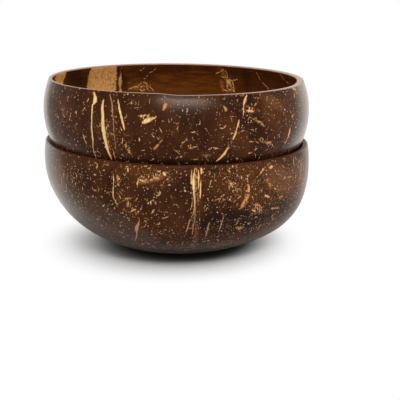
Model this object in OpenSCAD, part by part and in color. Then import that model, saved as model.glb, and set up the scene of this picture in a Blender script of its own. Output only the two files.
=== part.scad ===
// A nested pair of coconut shell bowls, each cut from one nut shell, sanded flat below and polished.
// The lower bowl is a half with the nut's three eyes, and the upper bowl is a half from the tip.
// The upper bowl is lowered until its curved outside seats in the lower bowl's lip, and lifts straight off.

/* [Lower bowl] */
// Widest diameter of the lower bowl
lower_d = 140; // [132:1:150]
// Height of the lower bowl, from its sanded base to the top of its lip
lower_h = 56.5; // [54:0.5:62]
// Height of the lower bowl's widest level above its base
lower_belly_h = 46.5; // [42:0.5:50]
// Diameter of the sanded flat that the lower bowl stands on
lower_base_d = 51; // [44:1:56]
// Share by which the lower shell's curve is fuller than an ellipse's
lower_fullness_share = 0.12; // [0:0.01:0.2]
// Thickness of the lower shell at its widest level and at its lip
lower_wall_t = 2.9; // [2.4:0.1:4]

/* [Upper bowl] */
// Widest diameter of the upper bowl
upper_d = 139; // [132:1:150]
// Height of the upper bowl, from its sanded base to the top of its lip
upper_h = 66; // [62:0.5:70]
// Height of the upper bowl's widest level above its base
upper_belly_h = 49.5; // [45:0.5:53]
// Diameter of the sanded flat under the upper bowl
upper_base_d = 50; // [44:1:56]
// Share by which the upper shell's curve is fuller than an ellipse's
upper_fullness_share = 0; // [0:0.01:0.2]
// Thickness of the upper shell at its widest level and at its lip
upper_wall_t = 2.5; // [2.1:0.1:3.5]

/* [Both shells] */
// Thickness of a shell at the middle of its sanded base
floor_t = 3.5; // [3:0.1:5]
// Height of the rounded top of a lip
lip_rise = 0.7; // [0.5:0.1:1.5]
// Share by which a lip's section is squarer than a half ellipse
lip_fullness_share = 0.3; // [0:0.05:0.5]

/* [Eyes] */
// Diameter of the circle that the three eyes lie on
eye_ring_d = 22; // [20:1:26]
// Diameter of an eye's dimple
eye_d = 9; // [8:0.5:10]
// Depth of an eye's dimple
eye_depth = 0.9; // [0.6:0.1:1.2]
// Diameter of the pore through the soft eye, and of the plug that closes it
pore_d = 6; // [4:0.5:7]

/* [Nesting] */
// Gap between the seated upper bowl and the lower bowl's lip
nest_gap = 0.3; // [0.2:0.05:0.6]

/* [Hidden] */

shell_colour = "#3f2920";
plug_colour = "#2b1c15";

// Steps along the curve below the widest level, along the wall above it and across the lip
curve_steps = 24;
rim_steps = 4;
lip_steps = 12;
// Steps of the search for the place where the two shells touch
seat_steps = 400;
eye_count = 3;
round_fn = 128;

lower_r = lower_d / 2;
lower_base_r = lower_base_d / 2;
lower_power = 2 * (1 + lower_fullness_share);
upper_r = upper_d / 2;
upper_base_r = upper_base_d / 2;
upper_power = 2 * (1 + upper_fullness_share);
lip_power = 2 * (1 + lip_fullness_share);

// Sphere whose cap is an eye's dimple
eye_sphere_r = (pow(eye_d / 2, 2) + pow(eye_depth, 2)) / (2 * eye_depth);

// Half height of an oval at a distance along it: power 2 is an ellipse, and more is squarer
function oval(along, half_length, half_height, power) =
    half_height * pow(max(0, 1 - pow(abs(along) / half_length, power)), 1 / power);

// Point of an oval's lower quarter, at an angle below its widest level
function oval_point(half_width, depth, power, angle) =
    [half_width * pow(cos(angle), 2 / power), -depth * pow(sin(angle), 2 / power)];

// Angle at which an oval's lower quarter has come in to a given radius
function oval_angle(half_width, radius, power) = acos(pow(radius / half_width, power / 2));

// Depth below the widest level at which the unsanded curve would close
function curve_depth(belly_r, belly_h, base_r, power) =
    belly_h / pow(1 - pow(base_r / belly_r, power), 1 / power);

// Radius of the outside and of the inside of a wall, at a height above the widest level
function outside_r(rise, belly_r, depth, power) = oval(rise, depth, belly_r, power);
function inside_r(rise, belly_r, depth, power, wall_t) =
    oval(rise, depth - wall_t, belly_r - wall_t, power);

// Half section of a bowl: base, outside, lip and inside, in that order
function bowl_section(belly_r, belly_h, base_r, rim_h, power, wall_t) =
    let (
        depth = curve_depth(belly_r, belly_h, base_r, power),
        base_angle = oval_angle(belly_r, base_r, power),
        rim_rise = rim_h - lip_rise - belly_h,
        lip_out_r = outside_r(rim_rise, belly_r, depth, power),
        lip_in_r = inside_r(rim_rise, belly_r, depth, power, wall_t),
        lip_mid_r = (lip_out_r + lip_in_r) / 2,
        lip_half_t = (lip_out_r - lip_in_r) / 2,
        belly = [0, belly_h]
    )
    concat(
        [[0, 0]],
        [for (i = [0 : curve_steps])
            belly + oval_point(belly_r, depth, power, base_angle * (1 - i / curve_steps))],
        [for (i = [1 : rim_steps])
            let (rise = rim_rise * i / rim_steps)
            belly + [outside_r(rise, belly_r, depth, power), rise]],
        [for (i = [1 : lip_steps - 1])
            let (turn = 180 * i / lip_steps)
            [
                lip_mid_r + lip_half_t * sign(cos(turn)) * pow(abs(cos(turn)), 2 / lip_power),
                rim_h - lip_rise + lip_rise * pow(sin(turn), 2 / lip_power)
            ]],
        [for (i = [rim_steps : -1 : 1])
            let (rise = rim_rise * i / rim_steps)
            belly + [inside_r(rise, belly_r, depth, power, wall_t), rise]],
        [for (i = [0 : curve_steps])
            belly + oval_point(belly_r - wall_t, belly_h - floor_t, power, 90 * i / curve_steps)]
    );

// Height of the lower bowl's inside, or of its lip, at a radius that the upper bowl comes down on
lower_depth = curve_depth(lower_r, lower_belly_h, lower_base_r, lower_power);
lower_rim_rise = lower_h - lip_rise - lower_belly_h;
lower_lip_out_r = outside_r(lower_rim_rise, lower_r, lower_depth, lower_power);
lower_lip_in_r = inside_r(lower_rim_rise, lower_r, lower_depth, lower_power, lower_wall_t);
lower_lip_mid_r = (lower_lip_out_r + lower_lip_in_r) / 2;
lower_lip_half_t = (lower_lip_out_r - lower_lip_in_r) / 2;
function lower_top(radius) =
    radius < lower_lip_in_r
        ? lower_belly_h - oval(radius, lower_r - lower_wall_t, lower_belly_h - floor_t, lower_power)
        : lower_h - lip_rise + oval(radius - lower_lip_mid_r, lower_lip_half_t, lip_rise, lip_power);

// Point of the upper bowl's underside, moved out by the gap along the surface's normal
upper_depth = curve_depth(upper_r, upper_belly_h, upper_base_r, upper_power);
upper_base_angle = oval_angle(upper_r, upper_base_r, upper_power);
function upper_gap_point(angle) =
    let (
        point = oval_point(upper_r, upper_depth, upper_power, angle),
        slope = [
            pow(point[0] / upper_r, upper_power - 1) / upper_r,
            -pow(-point[1] / upper_depth, upper_power - 1) / upper_depth
        ]
    )
    [0, upper_belly_h] + point + nest_gap * slope / norm(slope);

// Height of the upper bowl's base once the gap is all that is left between the shells
seat_heights = [for (i = [0 : seat_steps])
    let (point = upper_gap_point(upper_base_angle * i / seat_steps))
    if (point[0] < lower_lip_out_r) lower_top(point[0]) - point[1]];
upper_seat_h = max(seat_heights);

// Shell of one bowl, standing on its sanded base
module bowl_shell(belly_r, belly_h, base_r, rim_h, power, wall_t) {
    rotate_extrude($fn = round_fn)
        polygon(bowl_section(belly_r, belly_h, base_r, rim_h, power, wall_t));
}

// Places what follows at one of the eyes
module at_eye(index) {
    rotate(index * 360 / eye_count)
        translate([0, eye_ring_d / 2, 0])
            children();
}

// Pore through the soft eye, which lies nearest the back
module soft_eye_pore() {
    at_eye(0)
        translate([0, 0, -eye_depth])
            cylinder(d = pore_d, h = lower_belly_h, $fn = round_fn);
}

// Half of the nut with its eyes dimpled in the sanded base, before the pore is opened
module eye_half() {
    difference() {
        bowl_shell(lower_r, lower_belly_h, lower_base_r, lower_h, lower_power, lower_wall_t);
        for (index = [0 : eye_count - 1])
            at_eye(index)
                translate([0, 0, eye_depth - eye_sphere_r])
                    sphere(r = eye_sphere_r, $fn = round_fn);
    }
}

// Lower bowl: stands on its sanded flat and carries the upper one in its lip
module lower_bowl() {
    color(shell_colour)
        difference() {
            eye_half();
            soft_eye_pore();
        }
}

// Filler that makes the soft eye tight, flush with the dimple below and with the bowl inside
module eye_plug() {
    color(plug_colour)
        intersection() {
            eye_half();
            soft_eye_pore();
        }
}

// Upper bowl: plain tip half, seated in the lower bowl's lip
module upper_bowl() {
    color(shell_colour)
        translate([0, 0, upper_seat_h])
            bowl_shell(upper_r, upper_belly_h, upper_base_r, upper_h, upper_power, upper_wall_t);
}

lower_bowl();
eye_plug();
upper_bowl();
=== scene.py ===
"""A nested pair of coconut shell bowls: shells, finishes, floor, lamps and camera."""

import math

import bpy
import numpy as np
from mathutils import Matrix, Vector
from mathutils.bvhtree import BVHTree


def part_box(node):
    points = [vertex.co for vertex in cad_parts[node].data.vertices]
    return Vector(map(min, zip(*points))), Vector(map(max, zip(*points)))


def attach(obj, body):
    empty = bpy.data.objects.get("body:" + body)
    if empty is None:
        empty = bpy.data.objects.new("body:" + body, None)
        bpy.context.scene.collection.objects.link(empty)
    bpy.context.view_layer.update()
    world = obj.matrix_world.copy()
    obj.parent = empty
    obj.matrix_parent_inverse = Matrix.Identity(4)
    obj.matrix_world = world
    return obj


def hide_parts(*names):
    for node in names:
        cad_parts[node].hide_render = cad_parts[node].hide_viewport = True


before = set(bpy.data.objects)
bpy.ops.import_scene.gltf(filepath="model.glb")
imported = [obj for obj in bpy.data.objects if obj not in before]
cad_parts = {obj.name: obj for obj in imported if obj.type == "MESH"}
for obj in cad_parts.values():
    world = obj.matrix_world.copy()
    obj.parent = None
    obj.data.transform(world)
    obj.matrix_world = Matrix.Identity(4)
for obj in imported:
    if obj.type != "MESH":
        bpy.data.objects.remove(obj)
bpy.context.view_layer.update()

MM = 0.001

# Sizes that both shells share
FLOOR_T = 3.5 * MM
LIP_RISE = 0.7 * MM
LIP_POWER = 2.6

# Eyes of the nut, dimpled in the lower bowl's base
EYE_RING_R = 11 * MM
EYE_R = 4.5 * MM
EYE_DEPTH = 0.9 * MM
PORE_R = 3 * MM
EYE_COUNT = 3
EYE_FLAT_R = 17 * MM

# Unevenness that a real nut has: heights of its waves and the turns at which they start, how far the foot
# lies to one side, where the fuller cheek looks and the levels between which it comes and goes, and where
# the lip's dip comes. Waves are full beyond the plain radius, and the tilt above the level height.
LOBE_H, LOBE_TURN = 0.3 * MM, 0.4
OVAL_H, OVAL_TURN = 0.25 * MM, -0.7
FOOT_SHIFT = 2.8 * MM
CHEEK_TOWARD = math.radians(-15)
CHEEK_IN, CHEEK_OUT = (0, 15 * MM), (8 * MM, 38 * MM)
DIP_RIGHT, DIP_FRONT = (-8 * MM, 4 * MM), (0, 25 * MM)
PLAIN_R, LEVEL_H = 30 * MM, 30 * MM

# Camera of the photograph, in pixels of its 400 pixel frame and in metres
FRAME_PX = 400
LENS_PX = 863.2
SENSOR_MM = 36
CAMERA_DISTANCE = 456 * MM
CAMERA_H = 144.1 * MM
CAMERA_SIDE = 12.5 * MM
CAMERA_PITCH = math.radians(15.01)

# Distances between which the floor's painted shadow round the foot fades out, and the floor turns white to
# the camera and in reflections, and how far right of the middle that white is centred
PAINTED_SHADOW_R = (30 * MM, 50 * MM)
WHITE_R = (38 * MM, 75 * MM)
MIRROR_R = (42 * MM, 125 * MM)
SHADE_SHIFT = -2 * MM

WHITE = (1.0, 1.0, 1.0)
WARM_WHITE = (1.0, 0.94, 0.89)

# Steps of the shells' meshes: round the middle, and from the lip's foot to where its own finish starts
AROUND_STEPS = 384
CREST_STEPS = 6

# Middles of the face that the photograph shows outside and inside, and how far from its middle a face ends
FRONT, BACK = -math.pi / 2, math.pi / 2
HIDDEN_TURN = (1.36, 1.48)


def oval(along, half_length, half_height, power):
    """Half height of an oval at a distance along it; power 2 is an ellipse, and more is squarer."""
    share = np.clip(1 - np.abs(np.asarray(along, float) / half_length) ** power, 0, None)
    return half_height * share ** (1 / power)


def ease(low, high, value):
    """Rises smoothly from 0 at low to 1 at high."""
    share = np.clip((value - low) / (high - low), 0, 1)
    return share * share * (3 - 2 * share)


def placed(name, data):
    """A new object in the scene."""
    made = bpy.data.objects.new(name, data)
    bpy.context.scene.collection.objects.link(made)
    return made


class Shell:
    """Half section of one bowl, from the middle of its base round the lip to the middle of its floor."""

    def __init__(self, node, belly_h, base_r, power, wall_t, tilt, foot_shift=0, inside_shift=0,
                 cheek=0, dip=0):
        low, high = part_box(node)
        self.foot, self.height, self.belly_r = low.z, high.z - low.z, (high.x - low.x) / 2
        self.belly_h, self.base_r, self.power, self.wall_t = belly_h, base_r, power, wall_t
        self.tilt, self.foot_shift, self.inside_shift = tilt, foot_shift, inside_shift
        self.cheek, self.dip = cheek, dip
        self.depth = belly_h / (1 - (base_r / self.belly_r) ** power) ** (1 / power)
        self.lip_foot = self.height - LIP_RISE
        self.section()

    def outside_r(self, height):
        return oval(height - self.belly_h, self.depth, self.belly_r, self.power)

    def inside_r(self, height):
        return oval(height - self.belly_h, self.depth - self.wall_t, self.belly_r - self.wall_t, self.power)

    def quarter(self, half_width, depth, first_angle, last_angle, steps):
        """Points on the curve below the widest level, between two angles."""
        angle = np.linspace(first_angle, last_angle, steps)
        radius = half_width * np.cos(angle) ** (2 / self.power)
        return radius, self.belly_h - depth * np.sin(angle) ** (2 / self.power)

    def section(self):
        base_angle = math.acos((self.base_r / self.belly_r) ** (self.power / 2))
        flat_r = np.concatenate([np.linspace(0, EYE_FLAT_R, 30),
                                 np.linspace(EYE_FLAT_R + 0.8 * MM, self.base_r, 9)])
        curve_r, curve_z = self.quarter(self.belly_r, self.depth, base_angle, 0, 56)
        wall_z = np.linspace(self.belly_h, self.lip_foot, 12)[1:]
        turn = np.linspace(0, math.pi, 17)[1:-1]
        out_r, in_r = self.outside_r(self.lip_foot), self.inside_r(self.lip_foot)
        middle, half = (out_r + in_r) / 2, (out_r - in_r) / 2
        swing = np.sign(np.cos(turn)) * np.abs(np.cos(turn)) ** (2 / LIP_POWER)
        lip_r = middle + half * swing
        lip_z = self.lip_foot + LIP_RISE * np.sin(turn) ** (2 / LIP_POWER)
        half_width, depth = self.belly_r - self.wall_t, self.belly_h - FLOOR_T
        floor_r, floor_z = self.quarter(half_width, depth, 0, math.pi / 2, 60)
        floor_r[-1] = 0
        parts = [
            (flat_r[:-1], np.zeros(len(flat_r) - 1)),
            (curve_r, np.maximum(curve_z, 0)),
            (self.outside_r(wall_z), wall_z),
            (lip_r, lip_z),
            (self.inside_r(wall_z[::-1]), wall_z[::-1]),
            (floor_r, floor_z),
        ]
        self.r, self.z = np.hstack(parts)
        ends = np.cumsum([len(radii) for radii, heights in parts])
        self.lip_start, self.lip_end = int(ends[2]) - 1, int(ends[3])
        self.crest_start = self.lip_start + CREST_STEPS
        steps = np.hypot(np.diff(self.r), np.diff(self.z))
        run = np.concatenate([[0], np.cumsum(steps)])
        order = np.arange(len(run))
        self.along = np.where(order <= (self.lip_start + self.lip_end) // 2,
                              run[self.lip_start] - run, run - run[self.lip_end])
        self.inside_share = ease(self.lip_start, self.lip_end, order)

    def along_at(self, height, inside):
        """Distance down the surface from the lip's foot, at a height above the bowl's base."""
        if inside:
            return float(np.interp(-height, -self.z[self.lip_end:], self.along[self.lip_end:]))
        return float(np.interp(height, self.z[:self.lip_start + 1], self.along[:self.lip_start + 1]))


def lean(shell, height):
    """How far a shell is pushed aside at a height above its base: most at its foot."""
    return shell.foot_shift * np.clip(1 - height / shell.belly_h, 0, 1) ** 1.4


def dip(shell, x, y, height):
    """How far the lip sinks at the front right, and the wall below it less and less."""
    return (shell.dip * ease(*DIP_RIGHT, x) * ease(*DIP_FRONT, -y)
            * ease(0.6 * shell.belly_h, shell.height, height))


def grown(points, shell):
    """The unevenness of a real nut: soft lobes at its three seams, one fuller side, a lip that isn't level
    and a foot to one side."""
    x, y, z = points.T
    height = z - shell.foot
    angle = np.arctan2(y, x)
    radius = np.hypot(x, y)
    swell = LOBE_H * np.cos(EYE_COUNT * angle + LOBE_TURN) + OVAL_H * np.cos(2 * angle + OVAL_TURN)
    fuller = shell.cheek * ease(*CHEEK_IN, height) * (1 - 0.85 * ease(*CHEEK_OUT, height))
    swell = swell + fuller * np.clip(np.cos(angle - CHEEK_TOWARD), 0, 1) ** 2
    scale = (radius + swell * ease(0, PLAIN_R, radius)) / np.maximum(radius, MM * MM)
    sink = shell.tilt * x * ease(0, LEVEL_H, z) + dip(shell, x, y, height)
    return np.stack([x * scale + lean(shell, height), y * scale, z - sink], 1)


def shell_points(shell, turn, dimpled):
    """Points of a shell's rings in order, then its two poles."""
    rings = len(shell.r) - 2
    r, z = np.repeat(shell.r[1:-1], AROUND_STEPS), np.repeat(shell.z[1:-1], AROUND_STEPS)
    inside = np.append(np.repeat(shell.inside_share[1:-1], AROUND_STEPS), [0, 1])
    points = np.stack([r * np.cos(turn), r * np.sin(turn), z], 1)
    points = np.concatenate([points, [[0, 0, shell.z[0]], [0, 0, shell.z[-1]]]])
    points[:, 0] -= inside * shell.inside_shift
    if dimpled:
        under = np.repeat(np.arange(rings) < shell.lip_start, AROUND_STEPS)
        for eye in range(EYE_COUNT):
            toward = math.pi / 2 + eye * 2 * math.pi / EYE_COUNT
            centre = EYE_RING_R * np.array([math.cos(toward), math.sin(toward)])
            away = np.hypot(*(points[:len(r), :2] - centre).T) / EYE_R
            points[:len(r), 2] += np.where(under, EYE_DEPTH * np.clip(1 - away ** 2, 0, 1), 0)
    points[:, 2] += shell.foot
    return grown(points, shell)


def ring_mesh(name, points, steps):
    """A closed mesh from rings of points and then its two poles."""
    ring = np.arange(len(points) - 2).reshape(-1, steps)
    beside = np.roll(ring, -1, axis=1)
    first, last = ring.size, ring.size + 1
    faces = np.stack([ring[:-1], beside[:-1], beside[1:], ring[1:]], -1).reshape(-1, 4).tolist()
    faces += [(first, int(b), int(a)) for a, b in zip(ring[0], beside[0])]
    faces += [(int(a), int(b), last) for a, b in zip(ring[-1], beside[-1])]
    mesh = bpy.data.meshes.new(name)
    mesh.from_pydata(points.tolist(), [], faces)
    mesh.polygons.foreach_set("use_smooth", np.ones(len(faces), bool))
    return placed(name, mesh)


def shell_mesh(name, shell, dimpled):
    """A shell's mesh, its faces set apart for the finishes of its outside, its lip and its inside, and the
    way of its grain.
    """
    rings = len(shell.r) - 2
    turn = np.tile(np.arange(AROUND_STEPS) * 2 * math.pi / AROUND_STEPS, rings)
    piece = ring_mesh(name, shell_points(shell, turn, dimpled), AROUND_STEPS)
    row = np.repeat(np.arange(1, rings), AROUND_STEPS)
    zone = np.where(row < shell.crest_start, 0, np.where(row < shell.lip_end, 1, 2))
    zones = np.concatenate([zone, np.zeros(AROUND_STEPS, int), np.full(AROUND_STEPS, 2)])
    piece.data.polygons.foreach_set("material_index", zones.astype(np.int32))
    grain = np.stack([
        np.append(np.cos(turn), [1, 1]) * shell.belly_r,
        np.append(np.sin(turn), [0, 0]) * shell.belly_r,
        np.append(np.repeat(shell.along[1:-1], AROUND_STEPS), [shell.along[0], shell.along[-1]]),
    ], 1)
    piece.data.attributes.new("grain", "FLOAT_VECTOR", "POINT").data.foreach_set("vector", grain.ravel())
    piece.data.update()
    return piece


class Camera:
    """The photograph's camera, and where its pixels fall on a shell."""

    def __init__(self):
        data = bpy.data.cameras.new("photo_camera")
        data.lens = LENS_PX / FRAME_PX * SENSOR_MM
        data.sensor_width = SENSOR_MM
        data.clip_start = 10 * MM
        data.clip_end = 20
        self.object = placed("photo_camera", data)
        self.object.location = (CAMERA_SIDE, -CAMERA_DISTANCE, CAMERA_H)
        self.object.rotation_euler = (math.pi / 2 - CAMERA_PITCH, 0, 0)
        bpy.context.scene.camera = self.object

    def seen_at(self, face, px, py):
        """(across, along) of the point of a shell's face seen at a pixel: metres round the belly from the
        middle of that face, and metres down the surface from the lip."""
        shell, half = face.shell, FRAME_PX / 2
        way = Vector(((px - half) / LENS_PX, (half - py) / LENS_PX, -1))
        way = (self.object.rotation_euler.to_matrix() @ way).normalized()
        hit = shell.tree.ray_cast(self.object.location, way)[0]
        while face.inside and hit is not None and hit.xy.dot(way.xy) < 0:
            hit = shell.tree.ray_cast(hit + way * MM / 10, way)[0]
        if hit is None or (not face.inside and hit.xy.dot(way.xy) > 0):
            raise ValueError(f"{face.name} isn't seen at pixel {px}, {py}")
        height = hit.z - shell.foot + shell.tilt * hit.x
        height += dip(shell, hit.x, hit.y, height)
        x = hit.x - lean(shell, height) + (shell.inside_shift if face.inside else 0)
        across = math.remainder(math.atan2(hit.y, x) - face.middle, 2 * math.pi) * shell.belly_r
        return across, shell.along_at(height, face.inside)


class Face:
    """One side of a shell, and the marks that the photograph shows on it."""

    def __init__(self, name, shell, marks, inside=False):
        self.name, self.shell, self.marks, self.inside = name, shell, marks, inside
        self.middle = BACK if inside else FRONT

    def places(self, points):
        """Points given as pixels, with a half width in mm where they have one, as places on the face."""
        found = []
        for px, py, *rest in points:
            found.append((*camera.seen_at(self, px, py), *(value * MM for value in rest)))
        return found


class Amount:
    """A value that varies over a surface: one output socket, which takes part in sums."""

    def __init__(self, finish, socket):
        self.finish, self.socket = finish, socket

    def __add__(self, other):
        return self.finish.maths("ADD", self, other)

    def __sub__(self, other):
        return self.finish.maths("SUBTRACT", self, other)

    def __rsub__(self, other):
        return self.finish.maths("SUBTRACT", other, self)

    def __mul__(self, other):
        return self.finish.maths("MULTIPLY", self, other)

    def __truediv__(self, other):
        return self.finish.maths("DIVIDE", self, other)

    def __gt__(self, other):
        return self.finish.maths("GREATER_THAN", self, other)

    def __abs__(self):
        return self.finish.maths("ABSOLUTE", self)

    __radd__ = __add__
    __rmul__ = __mul__


class Finish:
    """One material, or the world, and the nodes that make it."""

    def __init__(self, holder):
        self.holder = holder
        holder.use_nodes = True
        self.tree = holder.node_tree
        self.tree.nodes.clear()

    def node(self, kind, settings=None, sockets=None, output=None):
        """Adds a node: its settings first, then the values or links of its sockets."""
        made = self.tree.nodes.new(kind)
        for name, value in (settings or {}).items():
            if name == "curve":
                points = made.mapping.curves[0].points
                while len(points) < len(value):
                    points.new(0.5, 0.5)
                for point, place in zip(points, value):
                    point.location = place
                made.mapping.update()
            else:
                setattr(made, name, value)
        for name, value in (sockets or {}).items():
            if isinstance(name, int):
                socket = made.inputs[name]
            else:
                socket = next(s for s in made.inputs if s.name == name and s.enabled)
            if isinstance(value, Amount):
                self.tree.links.new(value.socket, socket)
            elif isinstance(value, tuple) and socket.type == "RGBA":
                socket.default_value = (*value, 1)
            else:
                socket.default_value = value
        if not made.outputs:
            return None
        found = next(s for s in made.outputs if s.enabled and output in (None, s.name))
        return Amount(self, found)

    def maths(self, operation, *values):
        return self.node("ShaderNodeMath", {"operation": operation}, dict(enumerate(values)))

    def vectors(self, operation, *values, output=None):
        return self.node("ShaderNodeVectorMath", {"operation": operation}, dict(enumerate(values)), output)

    def mix(self, share, first, second):
        """Colour between two colours."""
        settings = {"data_type": "RGBA", "clamp_factor": True}
        return self.node("ShaderNodeMix", settings, {"Factor": share, "A": first, "B": second})

    def step(self, value, low, high):
        """0 where value is at low or beyond it, 1 at high, and smooth between."""
        sockets = {"Value": value, "From Min": low, "From Max": high}
        return self.node("ShaderNodeMapRange", {"interpolation_type": "SMOOTHSTEP"}, sockets)

    def most(self, values):
        """The largest of several values, each made just before it is compared."""
        values = iter(values)
        largest = next(values)
        for value in values:
            largest = self.maths("MAXIMUM", largest, value)
        return largest

    def combined(self, x, y):
        return self.node("ShaderNodeCombineXYZ", None, {"X": x, "Y": y, "Z": 1.0})

    def grain(self, inside):
        """Where a point lies in the shell's grain: as a vector round the belly, the angle from the middle
        of the face, and the distance down from the lip."""
        sign = -1.0 if inside else 1.0
        grain = self.node("ShaderNodeAttribute", {"attribute_name": "grain"}, None, "Vector")
        x, y, along = (self.node("ShaderNodeSeparateXYZ", None, {"Vector": grain}, axis) for axis in "XYZ")
        return grain, self.maths("ARCTAN2", x * sign, y * -sign), along

    def noise(self, vector, across, along, detail, roughness=0.55):
        """Noise with soft lumps of about the given length across the grain and along it, in mm."""
        counted = (1 / (across * MM), 1 / (across * MM), 1 / (along * MM))
        sockets = {"Vector": self.vectors("MULTIPLY", vector, counted), "Scale": 1.0, "Detail": detail,
                   "Roughness": roughness}
        return self.node("ShaderNodeTexNoise", None, sockets, "Fac")

    def cells(self, vector):
        """Scattered points: the distance to the nearest, and two random numbers of its own."""
        sockets = {"Vector": vector, "Scale": 1.0, "Randomness": 1.0}
        away = self.node("ShaderNodeTexVoronoi", {"voronoi_dimensions": "2D"}, sockets, "Distance")
        colour = {"Color": Amount(self, away.socket.node.outputs["Color"])}
        return away, *(self.node("ShaderNodeSeparateColor", None, colour, n) for n in ("Red", "Green"))

    def ray(self, kind):
        """1 for rays of a kind, such as those that come from the camera, and 0 for others."""
        return self.node("ShaderNodeLightPath", None, None, f"Is {kind} Ray")

    def framed(self, spot, centre, angle, size):
        """Spot as seen from a mark: its centre at 0, along the mark first, and its half sizes as 1."""
        sockets = {"Vector": spot, "Location": (*centre, 0), "Rotation": (0, 0, angle), "Scale": (*size, 1)}
        return self.node("ShaderNodeMapping", {"vector_type": "TEXTURE"}, sockets)

    def surface(self, colour, roughness, height, bump_distance, **constant):
        """Ends the material: varying colour, roughness and relief, and the rest set on the shader."""
        sockets = {"Strength": 1.0, "Distance": bump_distance, "Height": height}
        normal = self.node("ShaderNodeBump", None, sockets)
        sockets = {"Base Color": colour, "Roughness": roughness, "Normal": normal, **constant}
        shader = self.node("ShaderNodeBsdfPrincipled", None, sockets)
        self.node("ShaderNodeOutputMaterial", None, {"Surface": shader})
        return self.holder


def srgb(red, green, blue):
    """A colour as it looks on a screen, 0 to 255, as the light it stands for."""
    shares = [channel / 255 for channel in (red, green, blue)]
    return tuple(s / 12.92 if s <= 0.04045 else ((s + 0.055) / 1.055) ** 2.4 for s in shares)


class Drawing:
    """A face's marks on its finish: how deep a point lies in any mark of a kind, in metres, and below 0
    outside them all. Spot is the point's place across and along the face, as a vector."""

    def __init__(self, finish, face, across, along, spot):
        self.finish, self.face = finish, face
        self.across, self.along, self.spot = across, along, spot

    def streak(self, points):
        """Depth in a streak that runs down the shell through points of (across, along, half width)."""
        points = sorted(points, key=lambda p: p[1])
        first, last = points[0][1], points[-1][1]
        low, high = min(p[0] for p in points), max(p[0] for p in points)
        span, widest = max(high - low, MM), max(p[2] for p in points)
        sockets = {"Value": self.along, "From Min": first, "From Max": last}
        down = {"Value": self.finish.node("ShaderNodeMapRange", None, sockets)}
        steps = [(p[1] - first) / (last - first) for p in points]
        places = [(step, (p[0] - low) / span) for step, p in zip(steps, points)]
        widths = [(step, p[2] / widest) for step, p in zip(steps, points)]
        centre, width = (self.finish.node("ShaderNodeFloatCurve", {"curve": curve}, down)
                         for curve in (places, widths))
        return width * widest - abs(self.across - self.finish.maths("MULTIPLY_ADD", centre, span, low))

    def streaks(self, kind):
        return self.finish.most(self.streak(self.face.places(line)) for line in self.face.marks[kind])

    def panel(self, rows):
        """Depth in a panel, which starts at the lip and ends some way below the last row."""
        points = []
        for py, left, right in rows:
            (a0, l0), (a1, l1) = self.face.places([(left, py), (right, py)])
            points.append(((a0 + a1) / 2, (l0 + l1) / 2, abs(a1 - a0) / 2))
        across, along, half = max(points, key=lambda p: p[1])
        tail = [(across, along + PANEL_TAIL * 0.7, half * 0.8), (across, along + PANEL_TAIL, 0)]
        return self.streak(points + tail)

    def panels(self, kind):
        return self.finish.most(self.panel(rows) for rows in self.face.marks[kind])

    def dash(self, px, py, right, down, half_width):
        """Depth in a short mark, which tapers to both ends."""
        (x0, y0), (x1, y1) = self.face.places([(px, py), (px + right, py + down)])
        half_width = half_width * MM
        length = max(math.hypot(x1 - x0, y1 - y0), MM / 10)
        reach = length / 2 + half_width * 0.6
        x, y = (x1 - x0) / length, (y1 - y0) / length
        offset_x, offset_y = (x0 + x1) / -2, (y0 + y1) / -2
        ahead = (x / reach, y / reach, (offset_x * x + offset_y * y) / reach)
        aside = (-y / half_width, x / half_width, (offset_y * x - offset_x * y) / half_width)
        ahead, aside = (self.finish.vectors("DOT_PRODUCT", self.spot, way, output="Value")
                        for way in (ahead, aside))
        apart = ahead * ahead + aside * aside
        return self.finish.maths("MULTIPLY_ADD", apart, half_width / -2, half_width / 2)

    def dashes(self, kind):
        return self.finish.most(self.dash(*mark) for mark in self.face.marks[kind])

    def patches(self, kind, softness=2.5 * MM):
        """0 away from the large soft patches of a kind, and 1 well inside one."""
        return self.finish.step(self.dashes(kind), -softness, softness)


def specks(finish, spot, across, along, slant, half_width, kept):
    """Scattered specks or short dashes, one to a cell of the given size in mm: their mask, and a random
    number for each one's colour."""
    turned = finish.framed(spot, (0, 0), math.radians(slant), (across * MM, along * MM))
    away, chance, pick = finish.cells(turned)
    size = finish.maths("MULTIPLY_ADD", pick, 0.72, 0.3) * (half_width / across) * (chance > 1 - kept)
    mask = finish.step(size - away, 0.0, 0.08 / across) * (pick * 0.65 + 0.35)
    return mask, (chance - (1 - kept)) / kept


# Colours of the shells' outsides
BLACK_BROWN = srgb(47, 23, 9)
# painted shade
SHADE_BROWN = srgb(30, 14, 5)
DARK_BROWN = srgb(69, 36, 14)
RED_BROWN = srgb(92, 49, 20)
# duller haze, with painted sheen and painted floor reflection
DUST_AND_SHEEN_BROWN = srgb(84, 64, 52)
# lighter shell, and painted sheen at the sides
LIGHT_BROWN_AND_SHEEN = srgb(126, 84, 54)
GOLDEN_BROWN = srgb(182, 128, 76)
FIBRE_EDGE = srgb(204, 136, 72)
FIBRE_GOLD = srgb(255, 212, 144)
FIBRE_YELLOW = srgb(255, 230, 162)
FIBRE_PINK = srgb(240, 176, 126)
FIBRE_RUST = srgb(146, 92, 56)
# fibre in painted shade, low on the shells
FIBRE_IN_SHADE = srgb(154, 122, 102)
FIBRE_PEACH = srgb(252, 192, 138)
SPECK_PALE = srgb(255, 232, 212)
SPECK_TAN = srgb(246, 198, 146)
SPECK_RUST = srgb(204, 130, 80)

# Large soft patches of other browns, in the order in which they are laid on: kind, strength and colour. The
# dark patches are painted shade, the greyish ones duller haze with painted sheen and painted floor
# reflection, and the light ones lighter shell with painted sheen at the sides.
PATCHES = (("dark", 0.9, SHADE_BROWN), ("dust_and_sheen", 0.6, DUST_AND_SHEEN_BROWN), ("light", 0.4, LIGHT_BROWN_AND_SHEEN))

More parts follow.
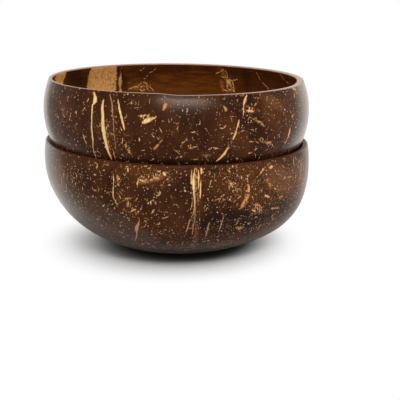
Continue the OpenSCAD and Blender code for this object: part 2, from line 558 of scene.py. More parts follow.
# Marks on the upper bowl's outside. A streak, a thin one or a seam is a run of (pixel x, pixel y, half width
# in mm), and any other mark (pixel x, pixel y, how far right and down it goes from there, half width in mm).
UPPER_MARKS = {"streaks": [
    [(93.9, 91.4, 0), (94.6, 95.5, 0.9), (95, 99.3, 1.15), (94.2, 103, 0.85), (92.7, 106, 0.5),
     (91.6, 119, 0.48), (91.6, 128, 0.48), (92.7, 140, 0.42), (93.5, 149.3, 0.26), (95.6, 156, 0.3),
     (97.2, 161, 0)],
    [(103.5, 99, 0), (102.4, 106.7, 0.75), (102.7, 115, 0.85), (103, 125, 1), (103.9, 133, 1),
     (105.6, 141, 0.85), (107.4, 148.7, 0.8), (110, 155.3, 0.5), (112.8, 162, 0)],
    [(118, 99, 0), (118.8, 105.3, 0.5), (120.2, 112.5, 0.55), (122.3, 121.3, 0.65), (124.4, 130.4, 0)],
    [(246.8, 94.4, 0), (245.8, 97.4, 0.5), (244.8, 101, 0.62), (243.7, 106.7, 0.3), (243.5, 112, 0.32),
     (242, 119, 0)],
    [(239.3, 119.4, 0), (238.4, 124, 0.5), (236.4, 130, 0.32), (235.1, 134.4, 0.65), (232.4, 140, 0)],
    [(228.8, 145.6, 0), (226, 151, 0.65), (223.2, 155.2, 0.85), (216, 161.6, 0)],
    [(290, 127.6, 0), (289.4, 132.7, 0.7), (288.2, 136.6, 0.5), (284.4, 145, 0.22), (277.8, 157.4, 0)],
], "thin": [
    [(109.4, 92.9, 0), (111, 99.3, 0.28), (112.3, 106.7, 0.28), (113.2, 120, 0.22), (114.5, 136.7, 0.18),
     (117, 155, 0)],
    [(112, 148, 0), (113.6, 153, 0.24), (115.8, 162, 0)],
], "gold": [
    (142.8, 122.6, 8.7, -3.8, 1.1), (148, 120.6, 9, -3.8, 0.6), (138.7, 116.2, 7.8, -0.8, 0.45),
    (147.6, 118.4, 1.6, -3.8, 0.4), (246.6, 110.9, 7, 0.1, 0.65), (248.4, 112.4, 1.6, -5.8, 0.35),
    (107.9, 124.4, 0.8, 4.2, 0.35), (120.3, 127.6, 1.7, 3.6, 0.4), (122.8, 137.6, -0.4, 6.4, 0.3),
    (124.3, 145.4, 3.9, 3.8, 0.28), (82.6, 133.6, 4.4, 12.4, 0.36), (229.4, 116.4, 6.6, 0.4, 0.22),
    (292.3, 114.8, 0.1, 3.2, 0.42), (294.3, 94.4, 0.1, 3.2, 0.35), (254.6, 117.4, 8.6, 8.4, 0.26),
    (88.6, 98, -1.2, 4.6, 0.3), (82.6, 111, 2.6, -3.4, 0.26),
], "orange": [
    (163.4, 109.6, 2.8, -5.2, 0.9), (154.6, 149.2, 4.2, -5.4, 0.65), (157.4, 145, 5.4, -5.2, 0.35),
    (174, 150.2, 4.6, 1.4, 0.42), (191.8, 159.3, 6.4, 0.1, 0.36), (292.4, 88.4, 3.6, 1.2, 0.8),
    (253, 106.4, 3.6, -2.6, 0.42), (266.4, 142.8, 5.2, -0.6, 0.75), (248.6, 142.2, 6.2, -1.4, 0.42),
    (247.6, 121, 2.2, -4.2, 0.35), (97.2, 151.2, 2.6, 1.6, 0.28), (240, 110.4, 3.6, -2.4, 0.28),
    (239, 95.4, 6, 0.4, 0.36), (107.6, 136, 3, 16, 0.35), (95.4, 97, 1.8, 5, 0.4), (246.6, 95, -1, 11, 0.34),
    (254.6, 141.4, 4.4, 1.6, 0.3), (249.8, 117, 10.8, 5.4, 0.28), (258, 139.6, 4.6, -0.8, 0.28),
], "rust": [
    (123.2, 131.4, 2, 5.2, 0.9), (127.8, 140.2, 3.2, 3.4, 0.9), (129.2, 150.4, 2.6, 4, 1),
    (98, 135.4, 1.2, 4, 0.8), (230.6, 113.4, 4.8, -0.2, 0.8), (187.6, 147.8, 5.8, -0.8, 0.7),
    (107.2, 113.6, 0.4, 5.4, 0.4), (171.6, 146.4, 4.8, 0.2, 0.7), (266.2, 145.6, 1.2, -3.2, 0.5),
    (125.6, 133, 1.2, 5, 0.5), (107.4, 134, 2.6, 24, 0.7), (126, 144, 2, 12, 0.6), (252, 119, 10, 5, 0.8),
    (61, 113, 7, 2, 0.9),
], "pale": [
    (190.2, 132.1, 5.4, 0, 0.36), (178, 126, -0.6, 4.2, 0.26), (159.2, 127.2, 3.2, 6.4, 0.24),
    (151.2, 133.8, 3, 3.8, 0.32), (156.2, 136.6, 2.8, 3.6, 0.26), (220.2, 128, 3.4, 0.5, 0.36),
    (223.6, 128.4, 2.4, -3.4, 0.3), (180.2, 146.3, 2.4, -1.8, 0.22), (180.2, 146.3, 2.4, 1.7, 0.22),
    (193, 147.8, 5.4, -1.8, 0.26), (208.2, 150.2, 4.4, -2.9, 0.3), (212.6, 147.3, 6.8, 1.6, 0.3),
    (201, 155.2, 9.8, -0.4, 0.2), (172, 116.6, -0.8, 5.8, 0.22), (131, 104.4, 1.2, -2.8, 0.3),
    (139.2, 137.6, 0.4, 4, 0.36), (254, 150.4, 3.2, -2.2, 0.36), (247.8, 153.8, 4.4, -1.6, 0.32),
    (230.4, 134.2, 3, -1.2, 0.24), (249.2, 129.2, 5, 0.6, 0.22), (76.2, 111.6, 0.2, 2.6, 0.32),
    (127.4, 93.6, 0.6, 0.2, 0.5), (180.6, 156.6, 1, 0.4, 0.42), (176.2, 151.6, 4.2, 2.8, 0.22),
    (140.4, 150.8, 5.6, -0.8, 0.22), (96, 125.2, 2.6, 2.2, 0.24),
], "dark": [
    # painted shade on the upper bowl's wall just above the lower bowl's lip
    (118, 159, 32, 3, 1.6), (150, 162, 50, 1.4, 1.6), (200, 163, 36, -2, 1.6), (236, 160.6, 26, -3.2, 1.3),
], "mottled": [
    (96, 122, 22, 20, 3.5), (264, 99, 22, 6, 3.5), (236, 104, 26, 12, 2),
], "red": [
    (112, 98, 5, 58, 3), (262, 100, 26, 32, 7), (226, 118, 18, 32, 5), (58, 100, 12, 12, 4),
], "dust_and_sheen": [
    # painted sheen below the front lip and at the left
    (170, 98, 44, 6, 1.5), (60, 140, 24, 12, 2),
], "light": [
    # painted sheen at the left edge, and lighter shell near the right of the rim
    (60, 106, 4, 3, 1), (268, 99, 12, 7, 2.5),
], "bright": [
    (140, 118, 13, 3, 0.8), (246, 105, 9, 7, 0.8), (262, 141, 10, 4, 0.8), (107, 124, 2, 18, 0.6),
    (188, 147, 6, 0, 0.8), (126, 144, 4, 10, 1), (254, 118, 9, 7, 0.9),
]}

# The same on the lower bowl
LOWER_MARKS = {"streaks": [
    [(194.4, 167.6, 0), (193.8, 173.6, 0.4), (193.2, 183, 0.7), (193.8, 190, 0.5), (194.1, 196, 0.42),
     (194.4, 203, 0.32), (194.2, 214, 0.2), (194.3, 221, 0.22), (193.8, 226, 0)],
    [(194.3, 222.6, 0), (192.9, 227, 0.32), (192.4, 236, 0)],
    [(191.4, 170, 0), (191, 176, 0.32), (191.4, 182, 0.3), (192.6, 186, 0)],
    [(198.4, 170, 0), (198.5, 175, 0.42), (198.3, 183, 0.38), (198.2, 190, 0)],
    [(201, 177.6, 0), (200.5, 183, 0.3), (200.4, 190, 0.45), (200.2, 199, 0)],
    [(201.2, 167.4, 0), (201.4, 170.4, 0.6), (201.5, 174.6, 0)],
    [(190.4, 218.6, 0), (188.2, 226, 0.36), (185.8, 234, 0)],
    [(211.6, 222, 0), (208.2, 225.4, 0.42), (207, 231, 0.4), (205.6, 238, 0)],
    [(223.6, 216.4, 0), (221, 225, 0.3), (218, 233, 0)],
    [(113.4, 173.4, 0), (113.3, 178, 0.34), (113.5, 184, 0.24), (113.4, 191, 0.38), (113.5, 197, 0.36),
     (115.2, 200.6, 0.32), (117.2, 206.4, 0)],
    [(139.4, 216.6, 0), (138.3, 223.6, 0.6), (136.6, 227.6, 1), (136.8, 232, 0.45), (136.4, 236, 0.4),
     (134, 242.4, 0)],
], "thin": [
    [(195.6, 194, 0), (195.3, 203, 0.25), (195.5, 214, 0.22), (195, 224, 0)],
    [(192.8, 197, 0), (192, 203.4, 0.22), (190.6, 209.8, 0)],
    [(194.3, 209, 0), (193.2, 213.4, 0.2), (191.4, 217, 0)],
    [(197.7, 192, 0), (197.9, 199, 0.2), (197.7, 206, 0)],
], "dark": [
    # painted shade, and a painted dark reflection, low on the lower bowl's right side
    (206, 224, 56, -5, 7), (266, 209, 22, -6, 3), (212, 214, 50, -2, 2),
], "seams": [
    [(197, 178, 0), (196.7, 190, 0.3), (196.8, 214, 0.28), (196.3, 246, 0)],
], "gold": [
    (64.6, 169, -0.4, 6, 0.2), (67.4, 172, -0.2, 8, 0.22), (70.4, 168, -0.2, 7, 0.2),
    (72.2, 176, 0.2, 8, 0.22), (75.4, 181, 0.2, 6, 0.2), (66.2, 184, 0.6, 7, 0.2), (79, 172, 0, 6, 0.2),
    (69, 189, 0.8, 5, 0.18), (61.6, 176, 0.4, 8, 0.18), (82.4, 185, 0.4, 5, 0.2), (298.4, 162, 0.2, 8, 0.24),
    (300.2, 172, -0.2, 10, 0.24), (303.4, 164, -0.2, 8, 0.22), (296, 174, -0.4, 7, 0.22),
    (303, 178, -0.6, 10, 0.2), (298.8, 186, -0.8, 6, 0.2), (125, 166.8, 3.6, 0.2, 0.32),
    (127.6, 166.8, 0.3, 5.2, 0.5), (138, 178.6, -0.8, 8.4, 0.42), (138.8, 179.4, 6.2, 2.2, 0.5),
    (148, 180.8, 5, -1.6, 0.35), (155, 178.8, 5, -1.6, 0.35), (163.4, 172.8, 2, 2.6, 0.75),
    (170.8, 177, -6.8, 5.2, 0.26), (118.8, 194.6, 2.8, 5.6, 0.3), (142, 205.6, -1.4, 4.4, 0.35),
    (140.6, 209.6, -3.2, 4, 0.3), (130.8, 211.4, 5.6, -2.4, 0.45), (148, 201.4, 1, 3.8, 0.3),
    (151, 201.6, 0.2, 3, 0.3), (227.6, 170, 3.2, 3, 0.36), (222, 180, 4.2, -2.8, 0.32),
    (248.3, 185, 0.7, 7, 0.65), (265, 167, -6.2, 8.2, 0.5), (269.4, 168.6, 3.4, -2.6, 0.75),
    (265, 195, 4.4, 2.4, 0.65), (251.8, 210, 4.2, 1.6, 0.65), (98.2, 163.8, -1.4, 5.2, 0.38),
    (144.4, 165.9, 2.6, 0, 0.3), (192.8, 202.6, -2.4, 6.8, 0.2), (193.4, 212.6, -2, 4.8, 0.2),
    (302, 159.6, 0, 8.4, 0.35), (293.4, 158.8, 0.1, 5, 0.38), (287.6, 177.5, 4.2, -0.9, 0.34),
    (239.2, 218, -3.4, 7.6, 0.34), (260.8, 217.6, -4.6, 9.4, 0.24), (266.6, 217.8, -2.8, 3.8, 0.22),
    (224.6, 227.8, 5.4, -1.5, 0.24), (274, 189.3, 2.4, -0.1, 0.3),
], "orange": [
    (249.6, 193.4, -5, 8.2, 0.75), (245.6, 199.6, -4.8, 8.6, 0.9), (238, 228.8, 3.6, -0.4, 0.8),
    (123.4, 198.6, 9.2, -0.6, 0.5), (270.4, 180.4, -0.4, 8.2, 0.45), (271.4, 208.4, 8.4, -0.6, 0.5),
    (279, 197.4, 4, -1, 0.55), (117, 176.4, 1, 3, 0.65), (226.6, 182.4, 5.4, -1.6, 0.36),
    (234.4, 182.6, 0.2, 6.4, 0.4), (228.8, 184.6, 1, 6.4, 0.4), (214, 201.4, 3.6, -2.8, 0.36),
    (217.6, 198.8, 3.2, 3.6, 0.36), (220.6, 202.4, 3.4, -3.4, 0.36), (194.6, 236.4, -3.8, 9.6, 0.3),
    (190.4, 244.6, -5.2, 7.4, 0.3), (123, 209.2, 1.6, 1.8, 0.36), (254.4, 203.4, 6.6, 3, 0.6),
], "rust": [
    (196.2, 166.8, 0.4, 45.2, 1.1), (200, 168, -0.2, 32, 0.8), (192, 168, 0.2, 32, 0.8),
    (209, 223.4, -2.4, 13.6, 1), (195.4, 210, -0.4, 38, 1.1), (170.4, 195.2, 5, 3.2, 0.8),
    (248.4, 192.6, -6.4, 16.4, 1.8), (150, 181, 16, -5.6, 1.7), (138, 182, 10, -1, 1.8),
    (262, 211, -10, 3.6, 1.2),
], "pale": [
    (94, 174.4, 2, 0.5, 0.4), (102.6, 170.3, 2.6, -0.2, 0.32), (89, 169, 0.8, 0.4, 0.32),
    (93.2, 181.2, 1.6, 0.6, 0.28), (93.4, 190.1, 2.2, 0.2, 0.32), (102.8, 205.2, 0.8, 0.6, 0.5),
    (101.8, 196.8, 0.8, 0.4, 0.36), (157.4, 171.3, 3, 0.3, 0.36), (168, 185.2, 2.6, -0.6, 0.4),
    (160.6, 185.4, 2, -0.6, 0.32), (156, 196, 3.6, -0.8, 0.32), (136, 199.8, 1.4, -2, 0.26),
    (155.2, 208.8, -4.2, 5.6, 0.26), (163, 218.8, 5.4, -2.2, 0.24), (156.6, 224.4, 3.6, -0.4, 0.32),
    (164, 229.4, 3, 1, 0.3), (143.4, 228, 3.4, -4.6, 0.24), (127, 217.6, 2, 1.2, 0.3),
    (225.6, 193.8, -5.8, 4.4, 0.24), (209.6, 205.8, -5.8, 6.2, 0.22), (184.6, 190.6, 0.8, 0.8, 0.55),
    (237.2, 198.8, 3.8, -2.8, 0.3), (229.4, 199.2, 0.8, 1.2, 0.4), (241.4, 176, 0.4, 2.8, 0.36),
    (246.2, 178, 1.6, 1.6, 0.32), (242.4, 207.9, -4.6, 1.5, 0.26), (76.8, 174.8, -0.4, 2.8, 0.32),
    (63.4, 170.4, 0, 8.4, 0.22), (210, 181.8, 0.8, 0.4, 0.4), (252, 196, 1.6, 4.4, 0.26),
    (147.4, 168.9, 3.4, -1.3, 0.26), (123, 174.2, 3, 1.5, 0.28),
], "mottled": [
    (216, 174, 80, 2, 7), (228, 192, 64, 4, 9), (140, 172, 30, 10, 4), (66, 166, 12, 26, 3.5),
    (240, 222, -24, 6, 4), (118, 176, 6, 34, 3),
], "red": [
    (70, 160, 110, 10, 4), (196, 172, 0, 72, 2), (226, 178, 72, 8, 11), (138, 176, 30, 4, 5),
], "dust_and_sheen": [
    # duller haze, with painted sheen at the left and painted floor reflection along the bottom
    (74, 196, 76, 44, 9), (62, 176, 16, 24, 5), (170, 246, 62, -2, 4),
], "light": [
    # painted sheen at the left and right edges, and lighter golden shell at the right
    (60, 164, 4, 22, 3), (296, 164, 6, 20, 5), (270, 174, 20, 12, 6),
], "bright": [
    (139, 181, 25, -7, 1.5), (230, 182, 6, 8, 1.7), (246, 188, 1, 14, 1.1), (268, 180, 3, 8, 1.3),
    (126, 199, 8, 12, 1.2), (252, 206, 11, 5, 1.6), (117, 176, 3, 5, 1), (300, 160, 1, 16, 1.2),
    (236, 228, 6, 0, 1), (196, 168, 2, 32, 1),
]}


def fibre_colour(finish, depth, strand, cloud, ripe):
    """Pale fibre: orange at its edge, yellow, gold or peach in the middle, with finer strands."""
    middle = finish.step(depth, 0.05 * MM, 0.6 * MM)
    gold = finish.mix(finish.step(cloud, 0.4, 0.62), FIBRE_YELLOW, FIBRE_GOLD)
    gold = finish.mix(ripe, gold, FIBRE_PEACH)
    return finish.mix(middle * 0.6 + finish.step(strand, 0.36, 0.62) * 0.65, FIBRE_EDGE, gold)


def wild_streaks(finish, spot, hidden, across, along, half_width, kept):
    """Depth in streaks scattered over the sides that the photograph hides, one to a cell of the size."""
    away, chance, pick = finish.cells(finish.framed(spot, (0, 0), 0.06, (across * MM, along * MM)))
    size = finish.maths("MULTIPLY_ADD", pick, 0.5, 0.5) * (half_width / across)
    return (size * (chance > 1 - kept) * hidden - away) * (across * MM)


def shell_outside(face, seed, clear, shade_and_wear, wax, quiet, layers):
    """Polished outside of a shell: dark brown, pale fibre streaks, and specks where fibres end.
    Clear is the share that stays free of golden mottling, worn the distance below the lip beyond which
    fibres are painted duller, as painted shade where the surface turns down, and quiet the strength of
    specks at the front. Wax is the coat at the left and at the right: the slants of view between which it
    comes, its share, and the distances below the lip, in mm, between which that turns into a last share. A
    layer of specks is their cell across and along in mm, slant in degrees, half width in mm, and the share
    of cells with one."""
    finish = Finish(bpy.data.materials.new(face.name))
    mix, step, most, noise = finish.mix, finish.step, finish.most, finish.noise
    shell = face.shell
    grain, turn, along = finish.grain(inside=False)
    shifted = finish.vectors("ADD", grain, (seed, seed, seed))
    fine = noise(shifted, 0.45, 1.6, 2)
    wobble = noise(shifted, 2.5, 5, 2)
    cloud = noise(shifted, 15, 20, 4, 0.6)
    stain = noise(shifted, 6, 9, 5, 0.65)
    fleck = noise(shifted, 0.7, 1, 3, 0.7)
    strand = noise(shifted, 0.2, 6, 2)
    across = turn * shell.belly_r + (fine - 0.5) * (0.7 * MM) + (wobble - 0.5) * (0.8 * MM)
    spot = finish.combined(across, along + (fleck - 0.5) * MM)
    draw = Drawing(finish, face, across, along, spot)
    frayed = (fleck - 0.5) * (1.2 * MM) + (fine - 0.5) * (0.6 * MM)
    hidden = step(abs(turn), *HIDDEN_TURN)

    colour = mix(step(cloud, 0.36, 0.62), BLACK_BROWN, DARK_BROWN)
    red = most([draw.patches("red") * 0.7, step(stain, 0.5, 0.72) * 0.5])
    colour = mix(red * step(stain, 0.3, 0.6), colour, RED_BROWN)
    for kind, share, tone in PATCHES:
        colour = mix(draw.patches(kind) * share, colour, tone)
    zone = most([draw.patches("mottled"), step(stain, clear, clear + 0.2)])
    colour = mix(step(fleck, 0.56, 0.66) * zone * 0.65, colour, GOLDEN_BROWN)

    colour = mix(step(draw.dashes("rust") + frayed, 0, 0.9 * MM) * 0.7, colour, FIBRE_RUST)
    colour = mix(step(draw.streaks("thin") + frayed * 0.1, 0, 0.12 * MM) * 0.5, colour, FIBRE_PINK)
    if "seams" in face.marks:
        colour = mix(step(draw.streaks("seams"), -0.1 * MM, 0.2 * MM) * 0.8, colour, BLACK_BROWN)
    line = noise(shifted, 3.2, 3.8, 1)
    sparse = noise(shifted, 2.4, 2.4, 1)
    relief = step(abs(line - 0.5), 0.026, 0.008) * step(sparse, 0.6, 0.64)
    colour = mix(relief * 0.5, colour, SPECK_TAN)
    strength = step(abs(turn), 0.3, 0.5) * (1 - quiet) + quiet
    for layer in layers:
        mask, pick = specks(finish, spot, *layer)
        mask = mask * strength
        tint = mix(pick * 2.4, SPECK_RUST, SPECK_TAN)
        colour = mix(mask * 0.9, colour, mix(pick * 2 - 1, tint, SPECK_PALE))
        relief = most([relief, mask])
    chips, pick = specks(finish, spot, 6, 9, 20, 1.0, 0.16)
    colour = mix(chips * hidden, colour, mix(pick, FIBRE_EDGE, FIBRE_GOLD))
    colour = mix(step(draw.dashes("pale") + frayed * 0.3, 0, 0.14 * MM) * 0.75, colour, SPECK_TAN)
    bright = draw.patches("bright", 0.8 * MM)
    bright = step(fleck + bright * 0.1, 0.6, 0.68) * step(bright, 0.05, 0.3)
    tint = mix(step(fine, 0.4, 0.6), FIBRE_EDGE, FIBRE_GOLD)
    colour = mix(bright * 0.8, colour, tint)
    orange_depth = draw.dashes("orange") + frayed
    orange = mix(step(orange_depth, 0.1 * MM, 0.8 * MM), FIBRE_EDGE, FIBRE_PINK)
    colour = mix(step(orange_depth, 0, 0.2 * MM) * 0.85, colour, orange)
    streak = draw.streaks("streaks") + frayed * 0.35
    wild = wild_streaks(finish, spot, hidden, 4.5, 80, 0.8, 0.16)
    gold_depth = most([draw.dashes("gold") + frayed * 0.8, streak, wild])
    gold = step(gold_depth, 0, 0.16 * MM)
    ripe = most([step(along, 8 * MM, 30 * MM) * 0.7, step(turn, 0.2, 0.4) * 0.75])
    fibre = fibre_colour(finish, gold_depth, strand, cloud, ripe)
    # painted shade: fibres turn duller below that distance down the surface, where it faces the floor
    fibre = mix(step(along, shade_and_wear, shade_and_wear + 12 * MM) * 0.75, fibre, FIBRE_IN_SHADE)
    colour = mix(gold, colour, fibre)

    relief = most([relief, step(streak, 0, 0.2 * MM)]) * -0.6 + fine * 0.2 + wobble * 0.5
    roughness = finish.maths("MULTIPLY_ADD", gold, 0.2, 0.26) + (stain - 0.5) * 0.12
    facing = finish.node("ShaderNodeLayerWeight", None, {"Blend": 0.5}, "Facing")
    left, right = (
        step(facing, low, high) * (step(along, start * MM, end * MM) * (rest - share) + share)
        for low, high, share, start, end, rest in wax)
    coat = left + (right - left) * step(turn, -0.6, 0.6)
    return finish.surface(colour, roughness, relief, 0.06 * MM, **{
        "Specular IOR Level": 0.08, "Specular Tint": (1, 0.8, 0.7), "Coat Weight": coat,
        "Coat Roughness": 0.25})


# Marks on the far inside wall of the upper bowl, as on its outside. A panel's rows are (pixel y, left x,
# right x), and its tail goes on below the last one.
INSIDE_MARKS = {"panels": [
    [(67.5, 90.5, 117.2), (74, 88.6, 117), (82, 87.6, 116.8), (89, 86.6, 116.4)],
    [(72.6, 120.2, 120.6), (76, 119.4, 121.6), (81, 118.4, 122), (85, 118.6, 121.8), (90, 119, 121.4)],
    [(75, 56.5, 65.6), (77, 55.5, 65), (79, 56, 64.4)],
], "dark": [
    (70, 72, 14, 14, 5), (119, 68, 7, 20, 2), (245, 70, 3, 18, 3), (98, 67.6, 5, 2.4, 0.8),
    (92, 86, 2, 4, 0.8),
], "light": [
    (150, 86, 65, 2, 5), (194, 74, 20, 10, 5), (160, 78, 24, 10, 5), (222, 76, 10, 14, 5),
    (130, 86, 18, 0, 4), (221, 70, 3, 10, 2), (90, 68, 26, 0, 1.2),
], "bright": [
    (132, 88, 18, -2, 1.4), (228.4, 80, 1.2, 6, 1.9), (226, 90, 7, 0.6, 1.2), (222, 70, 4, 9, 1.2),
    (221, 82, 2, 8, 1.4),
], "lines": [
    (128.6, 89.2, 6.6, -2.6, 0.45), (135.2, 86.4, 3.6, 1, 0.4), (138.6, 85.4, 3.7, -2.9, 0.36),
    (142.3, 82.4, 3.1, 0.1, 0.4), (145.4, 82.6, 2.4, 2, 0.45), (147.8, 84.6, -1, 3, 0.4),
    (141, 87.4, 2.8, -1.8, 0.5), (138.6, 88.4, 4.4, 3.2, 0.42), (142, 91.2, 3.8, -1.6, 0.4),
    (149.8, 86.4, 2, 2.6, 0.36), (151.8, 89, 2.2, 2, 0.34), (128.4, 83.4, 2.2, -1.4, 0.3),
    (134, 88, 6.6, -3.6, 0.3), (146, 86.4, 3.6, 4.6, 0.32), (139.6, 70.9, 3.4, -1.1, 0.32),
    (143, 69.8, 1.8, -2.8, 0.28), (148.8, 73, 4.2, -1.6, 0.34), (153, 71.4, 3.4, -3.4, 0.3),
    (146, 76.8, 2, -1.6, 0.3), (143.6, 78.6, 2.4, 0, 0.3), (215.6, 74, 4.2, -2.1, 0.34),
    (219.8, 71.9, 4.6, -2.9, 0.45), (225.8, 70.6, 1.4, 3.8, 0.36), (227.2, 74.4, 0.2, 4.6, 0.42),
    (221, 76.2, 2.6, 1.5, 0.42), (223.6, 77.7, 3.4, -0.1, 0.36), (227.2, 78.6, 0.1, 6, 0.6),
    (228.5, 80.8, 0.7, 2.6, 0.9), (227.4, 84, -0.5, 4.6, 0.42), (228, 79.4, 4.6, 1.6, 0.6),
    (232.6, 81, 0.8, 5, 0.5), (233.4, 86, 0.4, 5, 0.42), (233, 80.8, 3.2, -1.5, 0.4),
    (236.2, 79.3, 2, 0.3, 0.45), (229.4, 82, 2, 5.6, 0.36), (223.2, 89.2, 4.6, 2.2, 0.45),
    (227.6, 89.3, 4, 0.7, 0.5), (231.4, 89.6, 3.8, 2.4, 0.5), (232.6, 86.8, -1.6, 1.8, 0.4),
    (255, 71.2, 6, 9.4, 0.36), (261, 80.6, 8.2, 9.8, 0.36), (279.4, 73.4, 5.6, 7.6, 0.38),
    (285, 81, 5.6, 3.8, 0.38),
], "shade_and_wear": [
    # the tan panel darker along its left edge
    (90.5, 68, -2, 20, 1.4),
]}
PANEL_TAIL = 30 * MM

# Colours of the shells' insides
# painted shade inside, by the lip
LIP_SHADE_BROWN = srgb(78, 40, 15)
AMBER = srgb(104, 54, 12)
LIGHT_AMBER = srgb(142, 82, 22)
INSIDE_BLACK = srgb(50, 27, 16)
BARE_TAN = srgb(255, 176, 92)
BARE_PALE = srgb(255, 212, 140)
VEIN_BROWN = srgb(134, 68, 20)
SCRATCH_PALE = srgb(255, 202, 132)


def shell_inside(face, seed):
    """Satin inside of a shell: dark by the lip, as painted shade, and amber below, with paler shell bared in
    places. A face that the photograph hides has no marks."""
    finish = Finish(bpy.data.materials.new(face.name))
    mix, step, most, noise = finish.mix, finish.step, finish.most, finish.noise
    grain, turn, along = finish.grain(inside=True)
    shifted = finish.vectors("ADD", grain, (seed, seed, seed))
    fine = noise(shifted, 0.6, 0.9, 3, 0.7)
    cloud = noise(shifted, 20, 8, 4, 0.6)
    band = noise(shifted, 12, 1.3, 3, 0.6)
    blot = noise(shifted, 3, 4, 4, 0.65)
    across = turn * face.shell.belly_r + (blot - 0.5) * (2.5 * MM)
    spot = finish.combined(across, along + (fine - 0.5) * MM)
    draw = Drawing(finish, face, across, along, spot)
    # painted shade: dark by the lip, turning amber further down
    colour = mix(step(along + (cloud - 0.5) * (30 * MM), 2 * MM, 22 * MM), LIP_SHADE_BROWN, AMBER)
    colour = mix(step(band, 0.5, 0.72) * 0.4, colour, LIGHT_AMBER)
    hidden = step(abs(turn), 1.9, 2.1) if face.marks else 1.0
    wild = wild_streaks(finish, spot, hidden, 16, 110, 5, 0.3)
    bare = wild + (fine - 0.5) * MM
    if face.marks:
        light = draw.patches("light") * step(band, 0.35, 0.65)
        colour = mix(light * 0.6, colour, LIGHT_AMBER)
        colour = mix(draw.patches("dark") * 0.8, colour, INSIDE_BLACK)
        panel = draw.panels("panels")
        torn = (blot - 0.5) * step(along, 8 * MM, 34 * MM) * (16 * MM)
        bare = most([panel + (fine - 0.5) * (2.5 * MM) + torn, bare])
        bright = step(draw.patches("bright", 1.6 * MM) * 0.24 + fine, 0.6, 0.8)
        colour = mix(bright * 0.5, colour, BARE_TAN)
        lines = draw.dashes("lines") + (fine - 0.5) * (0.7 * MM)
        colour = mix(step(lines, 0, 0.22 * MM) * 0.95, colour, SCRATCH_PALE)
    tan = mix(step(fine, 0.4, 0.62), BARE_TAN, BARE_PALE)
    vein = most([step(abs(blot - 0.5), 0.04, 0.01) * step(cloud + fine, 0.86, 1.04),
                 step(bare, 0.9 * MM, 0.2 * MM) * 0.7])
    if face.marks:
        vein = most([vein, draw.patches("shade_and_wear") * 0.6])
    tan = mix(vein * 0.62, tan, VEIN_BROWN)
    colour = mix(step(bare, 0, 0.3 * MM) * 0.92, colour, tan)
    relief = fine * 0.6 + blot
    return finish.surface(colour, 0.4 + (cloud - 0.5) * 0.1, relief, 0.05 * MM, **{
        "Specular IOR Level": 0.1, "Specular Tint": (1, 0.8, 0.6)})


def lip_finish(name, dark, pale):
    """Cut edge of a shell, sanded fine."""
    finish = Finish(bpy.data.materials.new(name))
    grain = finish.grain(inside=False)[0]
    cloud = finish.noise(grain, 5, 1, 3)
    colour = finish.mix(cloud, dark, pale)
    return finish.surface(colour, 0.4 + cloud * 0.1, cloud, 0.02 * MM, **{"Specular IOR Level": 0.12})


def filler_finish():
    """Matt filler of shell dust in the soft eye."""
    finish = Finish(bpy.data.materials.new("filler"))
    place = finish.node("ShaderNodeTexCoord", None, None, "Object")
    dust = finish.noise(place, 0.4, 0.4, 2)
    colour = finish.mix(dust, srgb(34, 20, 13), srgb(62, 40, 28))
    return finish.surface(colour, 0.6 + dust * 0.15, dust, 0.03 * MM, **{"Specular IOR Level": 0.2})


def white_floor():
    """A white floor that keeps the shadow near the bowls, with a painted shadow darkening its colour to the
    camera round the foot, and meets the white world without a horizon.
    """
    bpy.ops.mesh.primitive_plane_add(size=8)
    floor = bpy.context.object
    floor.name = "floor"
    finish = Finish(bpy.data.materials.new("floor"))
    seen, mirrored = finish.ray("Camera"), finish.ray("Glossy")
    place = finish.node("ShaderNodeTexCoord", None, None, "Object")
    away = finish.vectors("DISTANCE", place, (SHADE_SHIFT, 0, 0), output="Value")
    touch = finish.vectors("DISTANCE", place, (FOOT_SHIFT, -1.5 * MM, 0), output="Value")
    # painted shadow: to the camera the floor's colour darkens towards the foot
    near = finish.mix(finish.step(touch, *PAINTED_SHADOW_R), (0.08, 0.08, 0.08), (0.97, 0.97, 0.97))
    colour = finish.mix(seen, (0.8, 0.8, 0.8), near)
    far = finish.most([finish.step(away, *WHITE_R) * seen, finish.step(away, *MIRROR_R) * mirrored])
    lit = finish.node("ShaderNodeBsdfPrincipled", None,
                      {"Base Color": colour, "Roughness": 1.0, "Specular IOR Level": 0.0})
    white = finish.node("ShaderNodeEmission", None, {"Color": finish.mix(seen, WARM_WHITE, WHITE)})
    shader = finish.node("ShaderNodeMixShader", None, {0: far, 1: lit, 2: white})
    finish.node("ShaderNodeOutputMaterial", None, {"Surface": shader})
    floor.data.materials.append(finish.holder)


def white_world(strength):
    """White to the camera and in reflections, and plain light on everything else."""
    world = bpy.data.worlds.new("studio")
    bpy.context.scene.world = world
    finish = Finish(world)
    seen = finish.most(finish.ray(kind) for kind in ("Camera", "Glossy", "Transmission"))
    light = finish.node("ShaderNodeBackground", None, {"Color": WHITE, "Strength": strength})
    white = finish.mix(finish.ray("Glossy"), WHITE, WARM_WHITE)
    white = finish.node("ShaderNodeBackground", None, {"Color": white, "Strength": 1.0})
    shader = finish.node("ShaderNodeMixShader", None, {0: seen, 1: light, 2: white})
    finish.node("ShaderNodeOutputWorld", None, {"Surface": shader})


def softbox(name, place, width, height, radiance, diffuse=True, glossy=True):
    """A soft lamp aimed at the bowls, as bright to look at as radiance times white."""
    data = bpy.data.lights.new(name, "AREA")
    data.shape = "RECTANGLE"
    data.size, data.size_y = width, height
    data.energy = radiance * math.pi * width * height
    lamp = placed(name, data)
    lamp.location = place
    lamp.rotation_euler = (Vector((0, 0, 0.06)) - Vector(place)).to_track_quat("-Z", "Y").to_euler()
    lamp.visible_camera = False
    lamp.visible_diffuse = diffuse
    lamp.visible_glossy = glossy


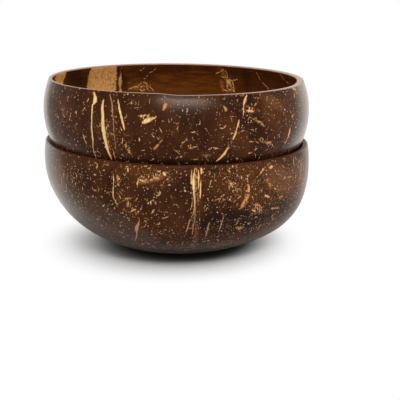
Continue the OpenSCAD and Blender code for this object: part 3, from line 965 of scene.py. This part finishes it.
def eye_filler():
    """Plug of filler in the soft eye: straight sides, and both ends a little domed."""
    low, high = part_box("eye_plug")
    steps, dome = 48, 0.12 * MM
    radius = PORE_R - 0.01 * MM
    rings = [(0.5, low.z - dome * 0.6), (0.9, low.z), (1, low.z + dome),
             (1, high.z - dome), (0.9, high.z), (0.5, high.z + dome * 0.4)]
    points = [(share * radius * math.cos(turn), share * radius * math.sin(turn) + EYE_RING_R, z)
              for share, z in rings for turn in np.arange(steps) * 2 * math.pi / steps]
    points += [(0, EYE_RING_R, low.z - dome), (0, EYE_RING_R, high.z + dome * 0.6)]
    return ring_mesh("eye_filler", grown(np.array(points), lower), steps)


camera = Camera()
white_floor()
white_world(strength=0.62)
softbox("top_softbox", (0.25, 0.2, 1.0), 0.8, 0.8, 1.8)
softbox("front_softbox", (0.17, -0.83, 0.74), 0.5, 0.18, 11)
softbox("front_sheen", (0.16, -0.88, 0.62), 0.6, 0.24, 30, diffuse=False)
softbox("right_softbox", (0.75, 0.85, 0.25), 0.7, 0.8, 2.4, glossy=False)
softbox("left_softbox", (-0.65, 1.0, 0.25), 0.5, 0.8, 2.0, glossy=False)

lower = Shell("lower_bowl", belly_h=46.5 * MM, base_r=25.5 * MM, power=2.24, wall_t=2.9 * MM,
              tilt=0.0251, foot_shift=FOOT_SHIFT, cheek=1.8 * MM)
upper = Shell("upper_bowl", belly_h=49.5 * MM, base_r=25 * MM, power=2, wall_t=2.5 * MM,
              tilt=0.0112, inside_shift=0.9 * MM, dip=0.78 * MM)
lower_piece = shell_mesh("lower_shell", lower, dimpled=True)
upper_piece = shell_mesh("upper_shell", upper, dimpled=False)
graph = bpy.context.evaluated_depsgraph_get()
lower.tree, upper.tree = (BVHTree.FromObject(piece, graph) for piece in (lower_piece, upper_piece))

upper_out = shell_outside(
    Face("upper_outside", upper, UPPER_MARKS), seed=7.7, clear=0.66, shade_and_wear=40 * MM, quiet=0.6,
    wax=((0.69, 0.84, 0.8, 50, 60, 0.4), (0.5, 0.74, 1.0, 50, 60, 0.4)),
    layers=((1.4, 1.6, 15, 0.26, 0.3), (2.3, 6, -8, 0.22, 0.25), (2.7, 4.6, 48, 0.2, 0.2),
            (3, 5.2, -52, 0.2, 0.2)))
lower_out = shell_outside(
    Face("lower_outside", lower, LOWER_MARKS), seed=3.1, clear=0.6, shade_and_wear=18 * MM, quiet=1.0,
    wax=((0.45, 0.66, 0.75, 26, 46, 0.12), (0.6, 0.84, 0.42, 14, 34, 0.03)),
    layers=((1.2, 1.4, 20, 0.27, 0.27), (1.8, 4.2, -8, 0.22, 0.28), (2.2, 3.4, 46, 0.2, 0.24),
            (2.4, 4, -56, 0.2, 0.24)))
upper_in = shell_inside(Face("upper_inside", upper, INSIDE_MARKS, inside=True), seed=1.3)
lower_in = shell_inside(Face("lower_inside", lower, {}, inside=True), seed=5.9)
# pale sanded edge, lightened further as a painted highlight
upper_lip_with_painted_highlight = lip_finish("upper_lip_with_painted_highlight", srgb(156, 124, 108), srgb(200, 168, 150))
# dark brown as painted shade under the upper bowl
lower_lip_in_painted_shade = lip_finish("lower_lip_in_painted_shade", srgb(72, 38, 22), srgb(104, 62, 40))
dress = [
    (lower_piece, "lower_bowl", "lower", "lower_shell", [lower_out, lower_lip_in_painted_shade, lower_in]),
    (upper_piece, "upper_bowl", "upper", "upper_shell", [upper_out, upper_lip_with_painted_highlight, upper_in]),
    (eye_filler(), "eye_plug", "lower", "eye_filler", [filler_finish()]),
]
for piece, node, body, slot, finishes in dress:
    for finish in finishes:
        piece.data.materials.append(finish)
    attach(piece, body)
    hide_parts(node)

bpy.context.scene.view_settings.view_transform = "Standard"
